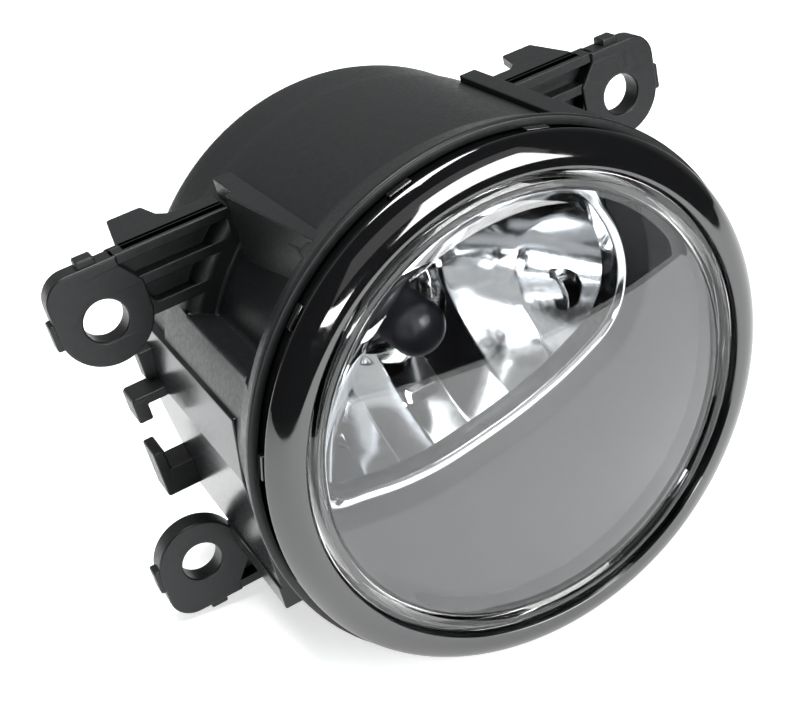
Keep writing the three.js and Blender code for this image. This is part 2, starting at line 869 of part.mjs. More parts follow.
// Dark coating over the front of the glass.
function bulbCoating() {
  const air = 0.2;
  const skin = 0.5;
  const profile = (grow) => [
    [0, GLASS_TIP_Y - grow],
    [2.6 + 0.3 * grow, GLASS_TIP_Y + 0.5 - grow],
    [4.2 + 0.6 * grow, GLASS_TIP_Y + 1.7 - 0.8 * grow],
    [GLASS_R + grow, GLASS_TIP_Y + 3.6 - 0.3 * grow],
    [GLASS_R + grow, GLASS_TIP_Y + 10],
  ];
  return turned([...profile(air + skin), ...profile(air).reverse()], 32);
}

function filament() {
  return rod(0.6, FOCUS_Y - 2.2, FOCUS_Y + 2.2, 0, 0, 12);
}

// Wire from the filament's rear end, and the longer one that runs past it from the front end.
function leadWires() {
  const rear = FOCUS_Y + 2.5;
  const front = FOCUS_Y - 2.5;
  const short = wire(
    [
      [0, rear, 0],
      [0, rear + 2, 0],
      [0, rear + 6, -1],
      [0, LEAD_END_Y, -1.6],
    ],
    0.35,
    8,
  );
  const long = wire(
    [
      [0, front, 0],
      [0, front - 1.6, 0.6],
      [0, front - 1.4, 2.2],
      [0, front + 2, 2.6],
      [0, rear + 6, 2.6],
      [0, LEAD_END_Y, 1.6],
    ],
    0.35,
    16,
  );
  return [short, long];
}

function bulbCollar() {
  return turned(
    [
      [GLASS_R + GAP, COLLAR_FRONT_Y],
      [7.4, COLLAR_FRONT_Y],
      [8, COLLAR_FRONT_Y + 1],
      [8, BASE_FRONT_Y - GAP],
      [GLASS_R + GAP, BASE_FRONT_Y - GAP],
    ],
    32,
  );
}

// Moulded base: bayonet collar with three lugs, sealing plate and a connector shroud facing down.
function bulbBase() {
  const collar = rod(9.8, BASE_FRONT_Y, BASE_PLATE_Y + 0.5, 0, 0, 40);
  const plate = rod(15, BASE_PLATE_Y, BASE_PLATE_Y + 2.6, 0, 0, 48);
  const hub = rod(11, BASE_PLATE_Y + 2, BASE_PLATE_Y + 7, 0, 0, 40);
  const lugs = LUG_ANGLES.map((angle) =>
    turnedBy(block([8, 11.8], [GROOVE_FRONT_Y + GAP, GROOVE_REAR_Y - GAP], [-2.6, 2.6]), angle),
  );
  const shroudY = [BASE_PLATE_Y + 2.3, BASE_PLATE_Y + 15.9];
  const shroud = block([-9.5, 9.5], shroudY, [SHROUD_MOUTH_Z, 5]);
  const rib = block([-2.5, 2.5], [shroudY[1] - 0.5, shroudY[1] + 1.4], [SHROUD_MOUTH_Z + 6, -8]);
  const mouth = block([-7.8, 7.8], [shroudY[0] + 1.7, shroudY[1] - 1.7], [SHROUD_MOUTH_Z - 1, -10]);
  const sealGroove = turned(
    [
      [11.6, BASE_PLATE_Y - 1],
      [13.8, BASE_PLATE_Y - 1],
      [13.8, BASE_PLATE_Y + 2],
      [11.6, BASE_PLATE_Y + 2],
    ],
    40,
  );
  const roots = TERMINAL_X.map((x) =>
    block([x - 1.4, x + 1.4], [TERMINAL_Y - 0.7, TERMINAL_Y + 0.7], [-11, -6.7]),
  );
  return cut(join(collar, plate, hub, shroud, rib, ...lugs), mouth, sealGroove, ...roots);
}

function bulbSeal() {
  const geometry = new THREE.TorusGeometry(12.7, 0.8, 8, 28).rotateX(Math.PI / 2);
  return toSolid(geometry.translate(0, BASE_PLATE_Y + 0.9, 0));
}

function terminal(x) {
  const blade = [
    [x - 1.1, -7],
    [x + 1.1, -7],
    [x + 1.1, SHROUD_MOUTH_Z + 5],
    [x + 0.7, SHROUD_MOUTH_Z + 4],
    [x - 0.7, SHROUD_MOUTH_Z + 4],
    [x - 1.1, SHROUD_MOUTH_Z + 5],
  ];
  return plateXZ(polygon(blade), TERMINAL_Y - 0.4, TERMINAL_Y + 0.4);
}

// ---------------------------------------------------------------- the assembly
add("housing", housing(), MATTE_BLACK);
add("trim_ring", trimRing(), GLOSS_BLACK);
add("lens", lens(), CLEAR);
add("lens_sealant", lensSealant(), SEALANT);
add("inner_bezel", innerBezel(), BEZEL_GREY);
add("aperture_trim", apertureTrim(), BRIGHT_TRIM);
add("pivot_socket_right", pivotSocket(), NATURAL_NYLON);
add("pivot_socket_left", mirroredX(pivotSocket()), NATURAL_NYLON);
add("rear_boot", rearBoot(), RUBBER);
add("boot_clamp", bootClamp(), STEEL);
add("breather_cap", breatherCap(), RUBBER);
add("adjuster_bush", adjusterBush(), NATURAL_NYLON);
add("reflector", reflector(), MIRROR);
add("pivot_pin_right", pivotPin(), STEEL);
add("pivot_pin_left", mirroredX(pivotPin()), STEEL);
add("adjuster_screw", adjusterScrew(), NATURAL_NYLON);
add("screw_retainer", screwRetainer(), STEEL);
add("adjuster_nut", adjusterNut(), NATURAL_NYLON);
add("bulb_glass", bulbGlass(), CLEAR);
add("bulb_coating", bulbCoating(), GLOSS_BLACK);
add("filament", filament(), TUNGSTEN);
const [shortLead, longLead] = leadWires();
add("lead_wire_rear", shortLead, TUNGSTEN);
add("lead_wire_front", longLead, TUNGSTEN);
add("bulb_collar", bulbCollar(), STEEL);
add("bulb_base", bulbBase(), BULB_BASE);
add("bulb_seal", bulbSeal(), RUBBER);
add("terminal_left", terminal(TERMINAL_X[0]), TERMINAL);
add("terminal_right", terminal(TERMINAL_X[1]), TERMINAL);

export default lamp;
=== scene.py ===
# %% [markdown]
# # A round front fog light
# The lamp is a moulded drum with three ears, a push-fit ring, a clear lens, a dark mask with one
# opening, and a metallised reflector with its bulb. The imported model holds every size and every
# joint. This lesson gives each piece a fine surface and a finish of its own.

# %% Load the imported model
import json
import math

import bmesh
import bpy
import numpy as np
from mathutils import Matrix, Vector
from mathutils.geometry import tessellate_polygon


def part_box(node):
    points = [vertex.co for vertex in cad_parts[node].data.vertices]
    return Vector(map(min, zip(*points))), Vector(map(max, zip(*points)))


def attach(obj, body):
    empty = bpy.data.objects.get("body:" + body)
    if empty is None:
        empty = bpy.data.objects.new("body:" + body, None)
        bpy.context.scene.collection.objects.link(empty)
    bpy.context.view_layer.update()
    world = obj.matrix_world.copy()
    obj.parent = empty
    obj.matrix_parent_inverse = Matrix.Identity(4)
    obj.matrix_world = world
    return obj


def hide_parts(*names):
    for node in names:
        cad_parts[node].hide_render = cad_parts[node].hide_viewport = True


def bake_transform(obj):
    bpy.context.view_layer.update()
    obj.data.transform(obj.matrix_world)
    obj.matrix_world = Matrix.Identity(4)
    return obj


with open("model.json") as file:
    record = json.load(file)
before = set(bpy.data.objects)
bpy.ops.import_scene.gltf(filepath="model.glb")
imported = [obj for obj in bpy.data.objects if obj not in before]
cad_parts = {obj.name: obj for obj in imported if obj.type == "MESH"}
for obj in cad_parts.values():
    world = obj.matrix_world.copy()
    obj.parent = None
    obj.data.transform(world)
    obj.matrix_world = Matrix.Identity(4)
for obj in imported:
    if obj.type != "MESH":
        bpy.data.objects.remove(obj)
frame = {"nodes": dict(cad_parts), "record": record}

MM = 0.001
FULL_TURN = 2 * math.pi
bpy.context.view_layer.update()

# %% [markdown]
# ## The camera
# The view is from the lamp's left, above and in front, with the camera rolled a little, because
# the lamp leans over until its lower ear touches the table.

# %% Camera
AZIMUTH, ELEVATION, ROLL = (math.radians(a) for a in (-20.44, 30.25, -15.27))
DISTANCE = 193.4 * MM
LENS_MM = 59.77

ring_low = np.array(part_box("trim_ring")[0])
ring_seam_y = ring_low[1] + 2.6 * MM
aim = Vector((-19.15 * MM, ring_seam_y - 1.0 * MM, 19.62 * MM))
back = Vector((
    math.sin(AZIMUTH) * math.cos(ELEVATION),
    -math.cos(AZIMUTH) * math.cos(ELEVATION),
    math.sin(ELEVATION),
))
level_right = Vector((math.cos(AZIMUTH), math.sin(AZIMUTH), 0))
level_up = back.cross(level_right)
right = level_right * math.cos(ROLL) + level_up * math.sin(ROLL)
up = level_up * math.cos(ROLL) - level_right * math.sin(ROLL)

camera = bpy.data.objects.new("camera", bpy.data.cameras.new("camera"))
bpy.context.scene.collection.objects.link(camera)
camera.data.sensor_width = 36
camera.data.lens = LENS_MM
camera.data.clip_start = 0.01
camera.matrix_world = Matrix.Translation(aim + back * DISTANCE) @ Matrix(
    (right, up, back)
).transposed().to_4x4()
bpy.context.scene.camera = camera
print("camera at, mm:", [round(v / MM, 1) for v in camera.matrix_world.translation])

# %% [markdown]
# ## Shape helpers
# Almost every moulded piece is one of three shapes: a profile turned about the lamp axis, a flat
# plate with rounded edges, or a section carried along a closed path. All three are worked out as
# whole arrays, in millimetres, and scaled once when they become a mesh.

# %% Mesh from arrays
AXES = {"xz": (0, 2, 1), "yz": (1, 2, 0), "xy": (0, 1, 2)}


def grid_faces(rows, columns, close_rows=False, close_columns=False):
    """Quads between neighbouring rows and columns of a grid of points, wrapped where it closes."""
    i = np.arange(rows if close_rows else rows - 1)
    j = np.arange(columns if close_columns else columns - 1)
    i, j = np.meshgrid(i, j, indexing="ij")
    i2, j2 = (i + 1) % rows, (j + 1) % columns
    quads = np.stack([i * columns + j, i * columns + j2, i2 * columns + j2, i2 * columns + j], -1)
    return quads.reshape(-1, 4)


def piece(name, parts, material, body, weighted=False):
    """One object from (points in mm, faces) parts: doubles merged, faces turned outward.

    It rides on the body, or on none when body is None, which leaves it free to be blended.
    """
    shape = bmesh.new()
    for points, faces in parts:
        verts = [shape.verts.new(p) for p in (np.asarray(points).reshape(-1, 3) * MM).tolist()]
        for face in np.asarray(faces).tolist() if not isinstance(faces, list) else faces:
            corners = [verts[k] for k in dict.fromkeys(face)]
            if len(corners) > 2:
                shape.faces.new(corners)
    bmesh.ops.remove_doubles(shape, verts=shape.verts, dist=1e-7)
    bmesh.ops.dissolve_degenerate(shape, edges=shape.edges, dist=1e-8)
    bmesh.ops.recalc_face_normals(shape, faces=shape.faces)
    mesh = bpy.data.meshes.new(name)
    shape.to_mesh(mesh)
    shape.free()
    mesh.shade_smooth()
    mesh.materials.append(material)
    thing = bpy.data.objects.new(name, mesh)
    bpy.context.scene.collection.objects.link(thing)
    if weighted:
        thing.modifiers.new("even_normals", "WEIGHTED_NORMAL").weight = 60
    if body:
        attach(thing, body)
    print(f"{name}: {len(mesh.polygons)} faces")
    return thing


def rounded(corners, radius, steps=6):
    """A closed outline whose corners are arcs: each arc touches both sides of its corner.

    corners is [(u, v), ...], or (u, v, r) where a corner has a radius of its own.
    """
    flat = [(*c[:2], c[2] if len(c) > 2 else radius) for c in corners]
    points = []
    for k, (u, v, r) in enumerate(flat):
        here = np.array((u, v))
        before = np.array(flat[k - 1][:2]) - here
        after = np.array(flat[(k + 1) % len(flat)][:2]) - here
        reach = (np.linalg.norm(before), np.linalg.norm(after))
        before, after = before / reach[0], after / reach[1]
        half = math.acos(max(-1, min(1, float(before @ after)))) / 2
        if r <= 0 or abs(half - math.pi / 2) < 1e-3:
            points.append(here)
            continue
        along = min(r / math.tan(half), 0.48 * min(reach))
        r = along * math.tan(half)
        centre = here + (before + after) / np.linalg.norm(before + after) * r / math.sin(half)
        start, end = here + before * along - centre, here + after * along - centre
        turn = math.atan2(start[0] * end[1] - start[1] * end[0], float(start @ end))
        t = np.linspace(0, turn, steps + 1)[:, None]
        side = np.array((-start[1], start[0]))
        points.extend(centre + np.cos(t) * start + np.sin(t) * side)
    return np.array(points)


def area_of(loop):
    """Signed area of a closed outline: positive when it runs anticlockwise."""
    u, v = loop[:, 0], loop[:, 1]
    return 0.5 * float(np.sum(u * np.roll(v, -1) - np.roll(u, -1) * v))


def inset_of(loop, distance):
    """The outline moved to its left by a distance, along the mean of its two side normals."""
    ahead = np.roll(loop, -1, 0) - loop
    ahead /= np.linalg.norm(ahead, axis=1)[:, None]
    normal = np.stack([-ahead[:, 1], ahead[:, 0]], 1)
    before = np.roll(normal, 1, 0)
    scale = distance / np.maximum(0.3, 1 + np.sum(normal * before, 1))
    return loop + (normal + before) * scale[:, None]


# %% Turned pieces and plates
def turned(profile, steps=224, centre=(0, 0), axis="y"):
    """A closed profile of (radius, place on the axis) carried once round the axis."""
    profile = np.asarray(profile, float)
    a = np.arange(steps) * FULL_TURN / steps
    r, along = profile[:, :1], profile[:, 1:]
    u, v = r * np.cos(a) + centre[0], r * np.sin(a) + centre[1]
    along = np.broadcast_to(along, u.shape)
    points = np.stack((u, along, v) if axis == "y" else (along, u, v), -1)
    return points, grid_faces(len(profile), steps, True, True)


def plate(outline, low, high, edge=0.3, holes=(), plane="xz", steps=3):
    """A flat plate: each outline is drawn in by a quarter round as it nears either face.

    At angle t of that round the inset is edge (1 - sin t) and the height edge (1 - cos t).
    """
    loops = [np.asarray(outline, float), *(np.asarray(h, float) for h in holes)]
    loops = [
        loop if (area_of(loop) > 0) == (k == 0) else loop[::-1] for k, loop in enumerate(loops)
    ]
    edge = min(edge, 0.49 * (high - low))
    t = np.linspace(0, math.pi / 2, steps + 1)
    insets, rise = edge * (1 - np.sin(t)), edge * (1 - np.cos(t))
    insets = np.concatenate([insets, insets[::-1]])
    heights = np.concatenate([low + rise, high - rise[::-1]])
    points, faces, first = [], [], 0
    caps = ([], [])
    for loop in loops:
        rings = [np.c_[inset_of(loop, d), np.full(len(loop), h)] for d, h in zip(insets, heights)]
        points.extend(rings)
        faces.extend((grid_faces(len(rings), len(loop), False, True) + first).tolist())
        caps[0].append((rings[0], first))
        caps[1].append((rings[-1], first + (len(rings) - 1) * len(loop)))
        first += len(rings) * len(loop)
    for rings in caps:
        index = np.concatenate([np.arange(len(r)) + start for r, start in rings])
        flat = [[Vector((p[0], p[1], 0)) for p in r] for r, start in rings]
        faces.extend([[int(index[k]) for k in tri] for tri in tessellate_polygon(flat)])
    points = np.concatenate(points)
    placed = np.empty_like(points)
    for source, target in enumerate(AXES[plane]):
        placed[:, target] = points[:, source]
    return placed, faces


def moved(part, scale=(1, 1, 1), offset=(0, 0, 0)):
    """The same part mirrored or moved."""
    points, faces = part
    return np.asarray(points).reshape(-1, 3) * np.array(scale) + np.array(offset), faces


def spun(part, degrees):
    """The same part turned about the lamp axis, from X towards Z."""
    points, faces = part
    points = np.asarray(points).reshape(-1, 3)
    c, s = math.cos(math.radians(degrees)), math.sin(math.radians(degrees))
    x, z = points[:, 0] * c - points[:, 2] * s, points[:, 0] * s + points[:, 2] * c
    return np.stack([x, points[:, 1], z], 1), faces


def disc(u, v, r, count=64):
    """A round outline."""
    a = np.arange(count) * FULL_TURN / count
    return np.stack([u + r * np.cos(a), v + r * np.sin(a)], 1)


# %% [markdown]
# ## Finishes
# Moulded black plastic is never one flat black: a fine spark-eroded grain scatters its highlight,
# handling polishes some areas, and the colour shifts a little between thick and thin walls. Each
# finish below is a few noise layers in object coordinates, so it stays put on the piece.

# %% Material helpers
def finish_of(name, colour, roughness, metallic=0.0, **sockets):
    """A material with one Principled shader; other sockets are set by their plain names."""
    material = bpy.data.materials.new(name)
    material.use_nodes = True
    shader = material.node_tree.nodes["Principled BSDF"]
    shader.inputs["Base Color"].default_value = (*colour, 1)
    shader.inputs["Roughness"].default_value = roughness
    shader.inputs["Metallic"].default_value = metallic
    for socket, value in sockets.items():
        shader.inputs[socket.replace("_", " ")].default_value = value
    return material


def noise(material, scale, detail=3.0, stretch=(1, 1, 1)):
    """Noise in object coordinates; scale is in patterns per metre."""
    nodes, links = material.node_tree.nodes, material.node_tree.links
    place = nodes.new("ShaderNodeTexCoord")
    mapping = nodes.new("ShaderNodeMapping")
    mapping.inputs["Scale"].default_value = stretch
    texture = nodes.new("ShaderNodeTexNoise")
    texture.inputs["Scale"].default_value = scale
    texture.inputs["Detail"].default_value = detail
    links.new(place.outputs["Object"], mapping.inputs["Vector"])
    links.new(mapping.outputs["Vector"], texture.inputs["Vector"])
    return texture.outputs["Fac"]


def vary(material, fac, socket, low, high, start=0.35, end=0.65):
    """Runs a shader value, or a colour, from low to high as the noise goes from start to end."""
    nodes, links = material.node_tree.nodes, material.node_tree.links
    shader = nodes["Principled BSDF"]
    if socket == "Base Color":
        ramp = nodes.new("ShaderNodeValToRGB")
        ramp.color_ramp.elements[0].position, ramp.color_ramp.elements[1].position = start, end
        ramp.color_ramp.elements[0].color = (*low, 1)
        ramp.color_ramp.elements[1].color = (*high, 1)
        links.new(fac, ramp.inputs["Fac"])
        links.new(ramp.outputs["Color"], shader.inputs[socket])
        return
    span = nodes.new("ShaderNodeMapRange")
    for key, value in zip(("From Min", "From Max", "To Min", "To Max"), (start, end, low, high)):
        span.inputs[key].default_value = value
    links.new(fac, span.inputs["Value"])
    links.new(span.outputs["Result"], shader.inputs[socket])


def grain(material, fac, strength, depth):
    """Raises the surface by the noise; depth is the height of the grain in metres."""
    nodes, links = material.node_tree.nodes, material.node_tree.links
    bump = nodes.new("ShaderNodeBump")
    bump.inputs["Strength"].default_value = strength
    bump.inputs["Distance"].default_value = depth
    links.new(fac, bump.inputs["Height"])
    links.new(bump.outputs["Normal"], nodes["Principled BSDF"].inputs["Normal"])


# %% Black moulded plastic, gloss black, mask grey and the painted shade for the mask's roll
moulded = finish_of("moulded_black", (0.005, 0.006, 0.0063), 0.4, Specular_IOR_Level=0.32)
vary(moulded, noise(moulded, 900, 4), "Base Color", (0.0045, 0.0056, 0.006), (0.0065, 0.0078, 0.0082))
vary(moulded, noise(moulded, 1200, 3), "Roughness", 0.34, 0.44)
grain(moulded, noise(moulded, 6500, 2), 0.3, 0.00003)

polished_black = finish_of(
    "moulded_black_polished", (0.008, 0.0095, 0.010), 0.2, Specular_IOR_Level=0.3,
)
vary(polished_black, noise(polished_black, 1200, 3), "Roughness", 0.18, 0.22)

gloss_black = finish_of("gloss_black", (0.004, 0.0042, 0.0045), 0.05, Specular_IOR_Level=1.0)
vary(gloss_black, noise(gloss_black, 500, 4), "Roughness", 0.035, 0.085)
grain(gloss_black, noise(gloss_black, 160, 1), 0.12, 0.00006)

mask_grey = finish_of("mask_dark_grey", (0.012, 0.014, 0.016), 0.16, Specular_IOR_Level=0.2)
vary(mask_grey, noise(mask_grey, 300, 3), "Base Color", (0.011, 0.013, 0.015), (0.013, 0.015, 0.017))
vary(mask_grey, noise(mask_grey, 900, 3), "Roughness", 0.14, 0.2)

# The roll round the opening gets a darker grey than the rest of the mask. This is painted shade for the
# dark band under the bright lip, not a colour the mask has.
roll_painted_shade = finish_of("mask_roll_grey", (0.006, 0.007, 0.008), 0.2, Specular_IOR_Level=0.15)
vary(roll_painted_shade, noise(roll_painted_shade, 900, 3), "Roughness", 0.18, 0.24)

# %% [markdown]
# The lens and the bulb are clear solids with two real walls, so light bends and reflects twice.
# Moulded lenses carry faint flow waves, which a very long, shallow noise gives.

# %% Clear lens and bulb glass
clear_lens = finish_of(
    "clear_lens", (0.985, 0.995, 0.992), 0.0,
    Transmission_Weight=1.0, IOR=1.5, Specular_IOR_Level=0.12,
)
vary(clear_lens, noise(clear_lens, 300, 2), "Roughness", 0.0, 0.004)
grain(clear_lens, noise(clear_lens, 90, 1), 0.03, 0.00005)

bulb_clear = finish_of("bulb_clear", (0.99, 0.99, 0.98), 0.0, Transmission_Weight=1.0, IOR=1.47)
vary(bulb_clear, noise(bulb_clear, 900, 2), "Roughness", 0.0, 0.01)

# %% Metals and the smaller plastics
silvered = finish_of("silvered", (0.90, 0.91, 0.92), 0.03, metallic=1.0)
vary(silvered, noise(silvered, 240, 3), "Base Color", (0.86, 0.87, 0.89), (0.93, 0.94, 0.95))
vary(silvered, noise(silvered, 800, 3), "Roughness", 0.07, 0.11)

bright_lip = finish_of("bright_lip", (0.66, 0.68, 0.70), 0.08, metallic=1.0)
vary(bright_lip, noise(bright_lip, 600, 3), "Roughness", 0.05, 0.13)

dark_coat = finish_of("bulb_dark_coat", (0.026, 0.027, 0.034), 0.3)
vary(dark_coat, noise(dark_coat, 500, 2), "Roughness", 0.28, 0.34)

steel = finish_of("plain_steel", (0.50, 0.50, 0.52), 0.3, metallic=1.0)
vary(steel, noise(steel, 1500, 4, (1, 6, 1)), "Roughness", 0.22, 0.42)

tungsten = finish_of("tungsten", (0.22, 0.22, 0.23), 0.35, metallic=1.0)
vary(tungsten, noise(tungsten, 4000, 3), "Roughness", 0.28, 0.45)

tinned = finish_of("tinned_brass", (0.62, 0.60, 0.54), 0.3, metallic=1.0)
vary(tinned, noise(tinned, 2500, 3, (1, 1, 5)), "Roughness", 0.22, 0.4)

nylon = finish_of("natural_nylon", (0.60, 0.57, 0.48), 0.5, Subsurface_Weight=0.15)
nylon.node_tree.nodes["Principled BSDF"].inputs["Subsurface Radius"].default_value = (2e-3,) * 3
vary(nylon, noise(nylon, 500, 3), "Base Color", (0.55, 0.52, 0.43), (0.66, 0.63, 0.54))
grain(nylon, noise(nylon, 5000, 2), 0.2, 0.00003)

soft_rubber = finish_of("soft_rubber", (0.016, 0.016, 0.017), 0.75)
vary(soft_rubber, noise(soft_rubber, 700, 3), "Roughness", 0.62, 0.74)
grain(soft_rubber, noise(soft_rubber, 3500, 3), 0.15, 0.00003)

base_grey = finish_of("bulb_base_plastic", (0.025, 0.026, 0.029), 0.5)
vary(base_grey, noise(base_grey, 900, 4), "Base Color", (0.022, 0.023, 0.025), (0.028, 0.029, 0.032))
grain(base_grey, noise(base_grey, 5000, 2), 0.3, 0.00004)

sealant = finish_of("cured_sealant", (0.02, 0.02, 0.02), 0.6)
vary(sealant, noise(sealant, 900, 3), "Roughness", 0.5, 0.7)

# %% Finishes for the model's own pieces
SLOT_FINISH = {
    "black_plastic": moulded,
    "gloss_black": gloss_black,
    "clear_lens": clear_lens,
    "sealant": sealant,
    "bezel_gloss": mask_grey,
    "bright_trim": bright_lip,
    "nylon": nylon,
    "black_rubber": soft_rubber,
    "steel": steel,
    "mirror_coat": silvered,
    "bulb_glass": bulb_clear,
    "bulb_coating": dark_coat,
    "tungsten": tungsten,
    "base_plastic": base_grey,
    "terminal_tin": tinned,
}
for subpart in frame["record"]["subparts"]:
    node = frame["nodes"][subpart["node"]]
    for place in node.material_slots:
        place.material = SLOT_FINISH[subpart["material_slot"]]

# %% [markdown]
# ## The drum
# The real drum is one moulding, round except for two deep pockets beside the top walls, where the
# tool saves plastic. Here it is one grid of points round the axis: the radius is the turned
# profile's, lowered to the pocket floor inside the pocket's window of angle and depth.

# %% Drum with its pockets
FLANGE_R, DRUM_R, BAND_R, WALL = 46.3, 43.6, 42.9, 2.2
FLANGE_FRONT, FLANGE_REAR, BAND_FRONT, DRUM_REAR, COLLAR_REAR = -35.6, -29.1, 10.4, 24.9, 28.9
POCKET_FLOOR_R, POCKET_FRONT, POCKET_REAR = 38.0, FLANGE_REAR, 0.4
POCKET_ANGLES = (35.5, 61.7)
WALL_SKIN = 1.9
CAVITY_FRONT = -31.2


def smooth_step(x, low, high):
    """0 below low, 1 above high, and 3t^2 - 2t^3 between them."""
    t = np.clip((x - low) / (high - low), 0, 1)
    return t * t * (3 - 2 * t)


def window(x, low, high, soft):
    """1 between low and high, falling to 0 over soft at both ends."""
    return smooth_step(x, low - soft / 2, low + soft / 2) * (
        1 - smooth_step(x, high - soft / 2, high + soft / 2)
    )


outer_line = rounded([
    (43.1, FLANGE_FRONT + 2.6, 0),
    (44.7, FLANGE_FRONT + 2.6, 0),
    (44.7, FLANGE_FRONT, 0.15),
    (FLANGE_R, FLANGE_FRONT, 0.35),
    (FLANGE_R, FLANGE_FRONT + 1.0, 0.8),
    (44.9, FLANGE_REAR, 0.5),
    (DRUM_R, FLANGE_REAR + 2.6, 2.0),
    (DRUM_R, BAND_FRONT, 0.15),
    (BAND_R, BAND_FRONT + 0.5, 0.15),
    (BAND_R, DRUM_REAR, 3.0),
    (22.0, DRUM_REAR, 0.8),
    (22.0, COLLAR_REAR, 0.5),
    (20.0, COLLAR_REAR, 0.5),
    (20.0, DRUM_REAR - WALL, 0.4),
    (BAND_R - WALL, DRUM_REAR - WALL, 1.5),
    (41.2, CAVITY_FRONT, 1.0),
    (35.5, CAVITY_FRONT, 0.3),
    (35.5, -34.6, 0.2),
    (36.6, -34.6, 0.1),
    (36.6, -32.6, 0.1),
    (39.5, -32.6, 0.1),
    (39.5, -37.2, 0.2),
    (41.4, -37.2, 0.2),
    (41.4, FLANGE_FRONT, 0.2),
    (43.1, FLANGE_FRONT, 0.15),
], 0.3, 4)


def dense(profile, longest):
    """The same closed profile with its long straight stretches split."""
    out = []
    for here, after in zip(profile, np.roll(profile, -1, 0)):
        count = max(1, math.ceil(np.linalg.norm(after - here) / longest))
        out.extend(here + (after - here) * k / count for k in range(count))
    return np.array(out)


def extra(places, values, spread=0.25, count=5):
    """Adds closely spaced values round each place, so a step there is crisp."""
    more = [p + np.linspace(-spread, spread, count) for p in places]
    return np.unique(np.round(np.concatenate([values, *more]), 5))


profile = dense(outer_line, 3.0)
edges_y = (POCKET_FRONT + 0.2, POCKET_REAR - 0.2)
wall_points = []
for here, after in zip(profile, np.roll(profile, -1, 0)):
    wall_points.append(here)
    if here[0] > 40 and after[0] > 40 and abs(here[1] - after[1]) > 0.2:
        cuts = np.concatenate([y + np.linspace(-0.3, 0.3, 7) for y in edges_y])
        t = (cuts - here[1]) / (after[1] - here[1])
        wall_points.extend(here + (after - here) * k for k in sorted(t[(t > 0.01) & (t < 0.99)]))
profile = np.array(wall_points)

angles = np.linspace(0, 360, 240, endpoint=False)
pocket_sides = [s * a % 360 for s in (1, -1) for a in POCKET_ANGLES]
angles = extra(pocket_sides, angles, 0.45, 9)
a = np.radians(angles)[None, :]
r = np.repeat(profile[:, :1], len(angles), 1)
y = np.repeat(profile[:, 1:], len(angles), 1)
from_top = np.abs((np.degrees(a) + 180) % 360 - 180)
inside = window(from_top, *POCKET_ANGLES, 0.8) * window(y, POCKET_FRONT, POCKET_REAR, 0.4)
outside_wall = (profile[:, 0] > 42)[:, None]
r = np.where(outside_wall, r - inside * (r - POCKET_FLOOR_R), r)
inner_wall = ((profile[:, 0] > 40) & (profile[:, 0] < 42) & (profile[:, 1] > -31.5))[:, None]
inner_cut = window(from_top, POCKET_ANGLES[0] - 3, POCKET_ANGLES[1] + 3, 0.8) * window(
    y, POCKET_FRONT - WALL_SKIN, POCKET_REAR + WALL_SKIN, 0.4
)
floor_inside = POCKET_FLOOR_R - WALL_SKIN
r = np.where(inner_wall, r - inner_cut * (r - floor_inside), r)
drum_points = np.stack([r * np.sin(a), y, r * np.cos(a)], -1)
drum = (drum_points, grid_faces(*drum_points.shape[:2], True, True))

# %% [markdown]
# The vent nipple, the pivot bosses and the rails that guide the adjuster nut are part of the same
# moulding.

# %% Bosses, rails and the vent nipple
nipple = turned(rounded([(1.3, 23.6), (2.6, 23.6), (2.6, 29.1, 0.4), (1.3, 29.1, 0.3)], 0.1), 48, (0, 31))
boss_line = rounded([(5.3, 34.6), (7.2, 34.6), (7.2, 41.9), (5.3, 41.9)], 0.2)
boss = turned(boss_line, 64, (-9.6, 0), axis="x")
bosses = [boss, moved(boss, (-1, 1, 1))]
rails = [
    plate(rounded([(s * 5.6, -41.6), (s * 7.4, -41.6), (s * 7.4, -28.8), (s * 5.6, -28.8)], 0.3), -2, 23)
    for s in (1, -1)
]
drum_piece = piece("housing_drum", [drum, nipple, *bosses, *rails], moulded, "housing")
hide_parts("housing")

# %% [markdown]
# ## Top walls, side panel and hooks
# These are flat mouldings with small edge radii, so each is a plate whose outline is drawn once.
# The left wall leans in towards the front, as the tool parts there.

# %% Top walls
FIN_TOP, FIN_ROOT = 38.65, 25.0


def top_wall(side, lean):
    """A wall above the drum, drawn from above, with a small step near its rear end."""
    outline = rounded([
        (side * 22.0, -32.8),
        (side * (25.7 - lean), -32.8),
        (side * (25.7 + 0.7 * lean), -3.2),
        (side * 25.7, -2.2),
        (side * 25.7, 5.9),
        (side * 22.4, 5.9),
    ], 0.3)
    return plate(outline, FIN_ROOT, FIN_TOP, 0.25, plane="xy")


walls = [top_wall(1, 0.0), top_wall(-1, 1.7)]
piece("housing_top_walls", walls, moulded, "housing", weighted=True)

# %% Side panel
PANEL_X, PANEL_FRONT, CREASE_Z = -44.0, -23.8, 2.2
lower_outline = rounded([
    (PANEL_FRONT, CREASE_Z),
    (PANEL_FRONT, -20.5),
    (15.9, -20.5),
    (16.7, -14.0, 1.5),
    (24.0, -5.0, 1.5),
    (24.4, CREASE_Z),
], 0.3)
lower_panel = plate(lower_outline, PANEL_X, PANEL_X + 6, 0.3, plane="yz")
upper_outline = rounded([
    (PANEL_FRONT, 13.0),
    (PANEL_FRONT, CREASE_Z - 0.6),
    (24.4, CREASE_Z - 0.6),
    (22.6, 13.0),
], 0.3)
upper_points, upper_faces = plate(upper_outline, PANEL_X, PANEL_X + 6, 0.3, plane="yz")
upper_points[:, 0] += np.maximum(0, upper_points[:, 2] - CREASE_Z) * (1.7 / 10.8)
under_outline = rounded([(-44.4, -24.8), (-36, -24.8), (-36, -20.0), (-44.4, -20.0)], 0.3)
under_block = plate(under_outline, PANEL_FRONT, 0.6, 0.3)
piece(
    "housing_side_panel", [lower_panel, (upper_points, upper_faces), under_block],
    polished_black, "housing", weighted=True,
)

